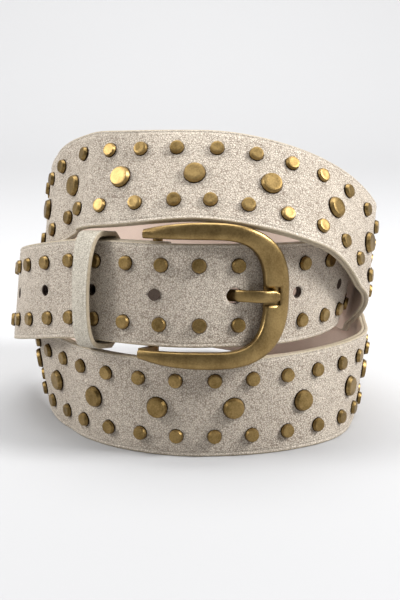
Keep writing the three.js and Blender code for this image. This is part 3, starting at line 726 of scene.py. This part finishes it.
# Buckle frame: one brass casting in a horseshoe, its broad bow bevelled softly on both edges and its arms thinning
# to their ends, with a notch for the tongue and two lugs that hold the bar behind the tip of the strap.
FRAME_CLEARANCE = 1.5
ARM_WIDTH = 6.7
ARM_END_WIDTH = 3.5
BOW_WIDTH = 9.9
FRAME_THICKNESS = 3.6
FRAME_REACH = 24.2
FRAME_START = -21.1
FRAME_WIDEST = 2.5
ARM_RISE = 3.2
LUG_LENGTH = 3.2
LUG_WIDTH = 2.4
NOTCH_DEPTH = 1.4
NOTCH_SLACK = 1.1
TONGUE_REACH = 29.0
OPENING_HALF = STRAP_WIDTH / 2 + FRAME_CLEARANCE
BOW_RISE = STRAP_THICKNESS / 2 + SMALL_STUD_HEIGHT + LOOSE_GAP + FRAME_THICKNESS / 2
BOW_INNER_START = 4.0


def smooth_share(value, low, high):
    """0 at low, 1 at high: s^2 (3 - 2 s)."""
    s = np.clip((value - low) / (high - low), 0, 1)
    return s * s * (3 - 2 * s)


def frame_points(outline, section):
    """Rings of the frame: run and across between the outer and inner lines by share, out off the middle surface."""
    outer_run, outer_across, inner_run, inner_across = (column[:, None] for column in outline)
    width = np.hypot(outer_run - inner_run, outer_across - inner_across)
    share = np.where(section[:, 0] < 0, 1 + section[:, 0] / width, section[:, 0] / width)
    share = np.where(np.isnan(section[:, 2]), share, section[:, 2])
    run = outer_run + (inner_run - outer_run) * share
    across = outer_across + (inner_across - outer_across) * share
    rise = ARM_RISE + (BOW_RISE - ARM_RISE) * smooth_share(run, FRAME_WIDEST - 6, FRAME_REACH - 4)
    spots = [value.reshape(run.shape + (3,)) for value in on_tip(run.ravel())]
    return placed(spots, across, rise + section[:, 1])


arm_share = np.linspace(0, 1, 14)[:-1]
arm_lines = [
    FRAME_START + (FRAME_WIDEST - FRAME_START) * arm_share,
    OPENING_HALF + ARM_END_WIDTH + (ARM_WIDTH - ARM_END_WIDTH) * (1 - (1 - arm_share) ** 2),
    FRAME_START + (BOW_INNER_START - FRAME_START) * arm_share,
    np.full(13, OPENING_HALF),
]
bow_turn = np.pi * (0.5 - np.linspace(0, 1, 61))
c, s = np.maximum(np.cos(bow_turn), 0), np.sin(bow_turn)
bow_lines = [
    FRAME_WIDEST + (FRAME_REACH + BOW_WIDTH - FRAME_WIDEST) * c ** (2 / 2.6),
    (OPENING_HALF + ARM_WIDTH) * np.sign(s) * np.abs(s) ** (2 / 2.6),
    BOW_INNER_START + (FRAME_REACH - BOW_INNER_START) * c ** (2 / 3),
    OPENING_HALF * np.sign(s) * np.abs(s) ** (2 / 3),
]
flip = [1, -1, 1, -1]
outline = [
    np.concatenate([arm, bow, way * arm[::-1]]) for arm, bow, way in zip(arm_lines, bow_lines, flip)
]
# Section of the frame: mm from the outer line (or, below 0, from the inner line), mm off the middle, share if given.
top = FRAME_THICKNESS / 2
FRAME_SECTION = np.array(
    [
        (0.35, -top, np.nan),
        (0.0, 0.35 - top, np.nan),
        (0.0, top - 1.35, np.nan),
        (0.2, top - 0.85, np.nan),
        (0.65, top - 0.4, np.nan),
        (1.3, top - 0.12, np.nan),
        (0.0, top, 0.34),
        (0.0, top, 0.6),
        (-1.0, top - 0.1, np.nan),
        (-0.55, top - 0.3, np.nan),
        (-0.18, top - 0.7, np.nan),
        (-0.001, top - 1.2, np.nan),
        (-0.001, 0.35 - top, np.nan),
        (-0.35, -top, np.nan),
    ]
)
ring_points = frame_points(outline, FRAME_SECTION)
ring_count, section_count = ring_points.shape[:2]
frame_faces = tube_faces(ring_count, section_count)
frame_brass, frame_share, frame_pits = brass("frame_brass", 0.34)
frame_brass.feed("Base Color", frame_brass.blend(frame_share, shade(116, 94, 58), shade(164, 139, 92)))
frame_brass.bump(frame_pits, 0.04)
buckle = make_piece("buckle", ring_points.reshape(-1, 3), frame_faces, [frame_brass.material], None, None, 40)
notch_start, notch_end = FRAME_REACH - BOW_WIDTH / 4, TONGUE_REACH + NOTCH_SLACK
notch_box, notch_faces = block(notch_end - notch_start, TONGUE_WIDTH + 2 * NOTCH_SLACK, 2 * NOTCH_DEPTH)
TONGUE_SEAT = BOW_RISE + top - NOTCH_DEPTH
notch_spot = on_tip([(notch_start + notch_end) / 2])
cut_out(buckle, [(at_spot(notch_box, notch_spot, 0, TONGUE_SEAT + NOTCH_DEPTH), notch_faces)], 0)

lug_top, lug_bottom = UNDER_TIP + ARM_RISE, -FOLD_RADIUS - BAR_DIAMETER / 2
bar_points, bar_faces = rod(BAR_DIAMETER / 2, BAR_DIAMETER / 2, 2 * OPENING_HALF + 2 * LUG_WIDTH - 0.4, 24)
bar_points = bar_points[:, [0, 2, 1]]
lug_points, lug_faces = block(LUG_LENGTH, LUG_WIDTH, lug_top - lug_bottom)
bar_piece = make_piece("bar", at_spot(bar_points, bar_spot, 0, -FOLD_RADIUS), bar_faces, [frame_brass.material])
lug_places = [
    at_spot(lug_points, bar_spot, side * (OPENING_HALF + LUG_WIDTH / 2), (lug_top + lug_bottom) / 2)
    for side in (-1, 1)
]
lugs = make_piece(
    "lugs",
    np.concatenate(lug_places),
    lug_faces + [[k + 8 for k in face] for face in lug_faces],
    [frame_brass.material],
)
for piece in (buckle, bar_piece, lugs):
    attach(piece, "root")
    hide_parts("buckle_frame")

# Tongue: a flat brass prong with a rounded tip, bent up through the strap's hole to rest in the bow's notch; its
# root is rolled into an eye round the bar.
TONGUE_THICKNESS = 2.2
EYE_WALL = 1.6
tongue_half = TONGUE_THICKNESS / 2
under_strap = -(STRAP_THICKNESS / 2 + TIP_GAP + tongue_half)
eye_inner = BAR_DIAMETER / 2 + FIT_GAP
tongue_over = TONGUE_SEAT + FIT_GAP + tongue_half
climb_middle = TONGUE_HOLE_AT + CLIMB_AHEAD
COURSE_RUNS = [
    BAR_AT,
    climb_middle - TONGUE_CLIMB / 2,
    climb_middle + TONGUE_CLIMB / 2,
    FRAME_REACH - 2,
    TONGUE_REACH - 1.6,
    TONGUE_REACH,
]
COURSE_OUTS = [
    eye_inner + tongue_half - FOLD_RADIUS - UNDER_TIP,
    under_strap,
    STRAP_THICKNESS / 2 + tongue_half + LOOSE_GAP,
    tongue_over + 0.2,
    tongue_over + 0.1,
    tongue_over + 0.1,
]
blunt = TONGUE_REACH - 2.4 * np.cos(np.linspace(0.15, 1.5, 8))
tongue_runs = np.concatenate([np.linspace(BAR_AT, TONGUE_REACH - 2.4, 60), blunt])
course = np.interp(tongue_runs, COURSE_RUNS, COURSE_OUTS)
for _ in range(3):
    course[1:-1] = (course[:-2] + 2 * course[1:-1] + course[2:]) / 4
tip_share = np.clip((TONGUE_REACH - tongue_runs) / 2.4, 0, 1)
tongue_width = TONGUE_WIDTH / 2 * np.sqrt(1 - (1 - tip_share) ** 2 * 0.75)
section_turn = np.arange(20) * 2 * np.pi / 20
section_x = np.sign(np.cos(section_turn)) * np.abs(np.cos(section_turn)) ** 0.5
section_y = np.sign(np.sin(section_turn)) * np.abs(np.sin(section_turn)) ** 0.75
tongue_spots = [value[:, None] for value in on_tip(tongue_runs)]
tongue_out = course[:, None] + tongue_half * section_y
tongue_points = placed(tongue_spots, tongue_width[:, None] * section_x, tongue_out)
tongue_faces = tube_faces(len(tongue_runs), 20)
tongue = make_piece("tongue", tongue_points.reshape(-1, 3), tongue_faces, [frame_brass.material], None, None, 40)
eye_turn = np.arange(32) * 2 * np.pi / 32
eye_ring = [(eye_inner, 1), (eye_inner + EYE_WALL, 1), (eye_inner + EYE_WALL, -1), (eye_inner, -1)]
eye_points = np.array(
    [
        np.stack([r * np.cos(eye_turn), np.full(32, w * TONGUE_WIDTH / 2), r * np.sin(eye_turn)], axis=-1)
        for r, w in eye_ring
    ]
).transpose(1, 0, 2)
eye_faces = grid_faces(32, 4, True, True).tolist()
eye_points = at_spot(eye_points.reshape(-1, 3), bar_spot, 0, -FOLD_RADIUS)
eye = make_piece("eye", eye_points, eye_faces, [frame_brass.material])
for piece in (tongue, eye):
    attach(piece, "root")
    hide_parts("buckle_tongue")

# Keeper: a loose loop of the same suede, 2.2 mm thick, that holds the tip to the buckle end. It bulges off the strap
# and flares on the buckle's side, with a line pressed beside each of its cream painted edges.
KEEPER_WIDTH = 12.5
KEEPER_THICKNESS = 2.2
KEEPER_ROOM = 1.2
KEEPER_RISE = 0.2
KEEPER_AT = -46.0
KEEPER_BULGE = 6.2
KEEPER_ROUNDNESS = 0.62
KEEPER_FLARE = 5.0
KEEPER_TOP_COLUMN = 13
keeper_half = STRAP_WIDTH / 2 + KEEPER_ROOM + KEEPER_THICKNESS / 2
keeper_depth = UNDER_TIP + STRAP_THICKNESS / 2 + TIP_GAP + KEEPER_THICKNESS / 2
keeper_turn = np.pi * (np.linspace(0, 1, 57) - 0.5)
back_shares = np.linspace(0.9, -0.9, 25)
keeper_across = KEEPER_RISE + keeper_half * np.concatenate([np.sin(keeper_turn), [1.0], back_shares, [-1.0]])
keeper_swell = np.concatenate([np.maximum(np.cos(keeper_turn), 0) ** KEEPER_ROUNDNESS, np.zeros(27)])
keeper_back = keeper_depth * np.concatenate([np.zeros(57), [0.7], np.ones(25), [0.7]])
edge_in = np.array([0.0, 0.1, 0.3, 0.6, 1.0, 1.25, 1.5, 1.75, 2.1])
front_shares = np.concatenate([edge_in, np.linspace(2.8, KEEPER_WIDTH - 2.8, 9), KEEPER_WIDTH - edge_in[::-1]])
back_side = np.array([KEEPER_WIDTH - 0.1, KEEPER_WIDTH - 0.6, KEEPER_WIDTH / 2, 0.6, 0.1])
keeper_shares = np.concatenate([front_shares, back_side]) / KEEPER_WIDTH
from_rim = np.minimum(keeper_shares, 1 - keeper_shares) * KEEPER_WIDTH
is_front = np.arange(len(keeper_shares)) < len(front_shares)
crease_depth = np.where(is_front, 0.25 * np.exp(-(((from_rim - 1.5) / 0.3) ** 2)), 0)
keeper_out = np.where(is_front, 1, -1) * (KEEPER_THICKNESS / 2 - rounded(from_rim, 0.6)) - crease_depth
rim = STRAP_THICKNESS / 2 + KEEPER_BULGE + KEEPER_FLARE * (keeper_shares[None, :] - 0.5)
keeper_middle = rim * keeper_swell[:, None] - keeper_back[:, None]
step_across = (np.roll(keeper_across, -1) - np.roll(keeper_across, 1))[:, None]
step_out = np.roll(keeper_middle, -1, axis=0) - np.roll(keeper_middle, 1, axis=0)
stretch = np.hypot(step_across, step_out)
keeper_spots = on_tip(KEEPER_AT + KEEPER_WIDTH * (keeper_shares - 0.5))
keeper_spots = [value[None] for value in keeper_spots]
keeper_points = placed(
    keeper_spots,
    keeper_across[:, None] - step_out / stretch * keeper_out,
    keeper_middle + step_across / stretch * keeper_out,
)
keeper_rows, keeper_columns = keeper_points.shape[:2]
keeper_faces = grid_faces(keeper_rows, keeper_columns, True, True).tolist()
is_painted = np.roll(from_rim, -1) + from_rim < 0.75
keeper_run = np.concatenate([[0], np.cumsum(np.linalg.norm(np.diff(keeper_points[:, KEEPER_TOP_COLUMN], axis=0), axis=1))])
keeper_along = np.broadcast_arrays(keeper_run[:, None], (keeper_shares * KEEPER_WIDTH)[None, :])
keeper_strap = np.stack(keeper_along, axis=-1)
keeper_edge = np.stack(np.broadcast_arrays(from_rim[None, :] - 0.1, np.zeros((keeper_rows, 1))), axis=-1)
keeper_maps = {"strap": keeper_strap.reshape(-1, 2) * MM, "edge": keeper_edge.reshape(-1, 2) * MM}
keeper_suede = suede("keeper_suede", shade(140, 130, 114), shade(216, 209, 194), shade(226, 220, 205))
keeper = make_piece(
    "keeper",
    keeper_points.reshape(-1, 3),
    keeper_faces,
    [keeper_suede.material, edge_paint.material],
    np.tile(is_painted.astype(int), keeper_rows),
    keeper_maps,
    50,
)
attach(keeper, "root")
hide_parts("keeper_loop")
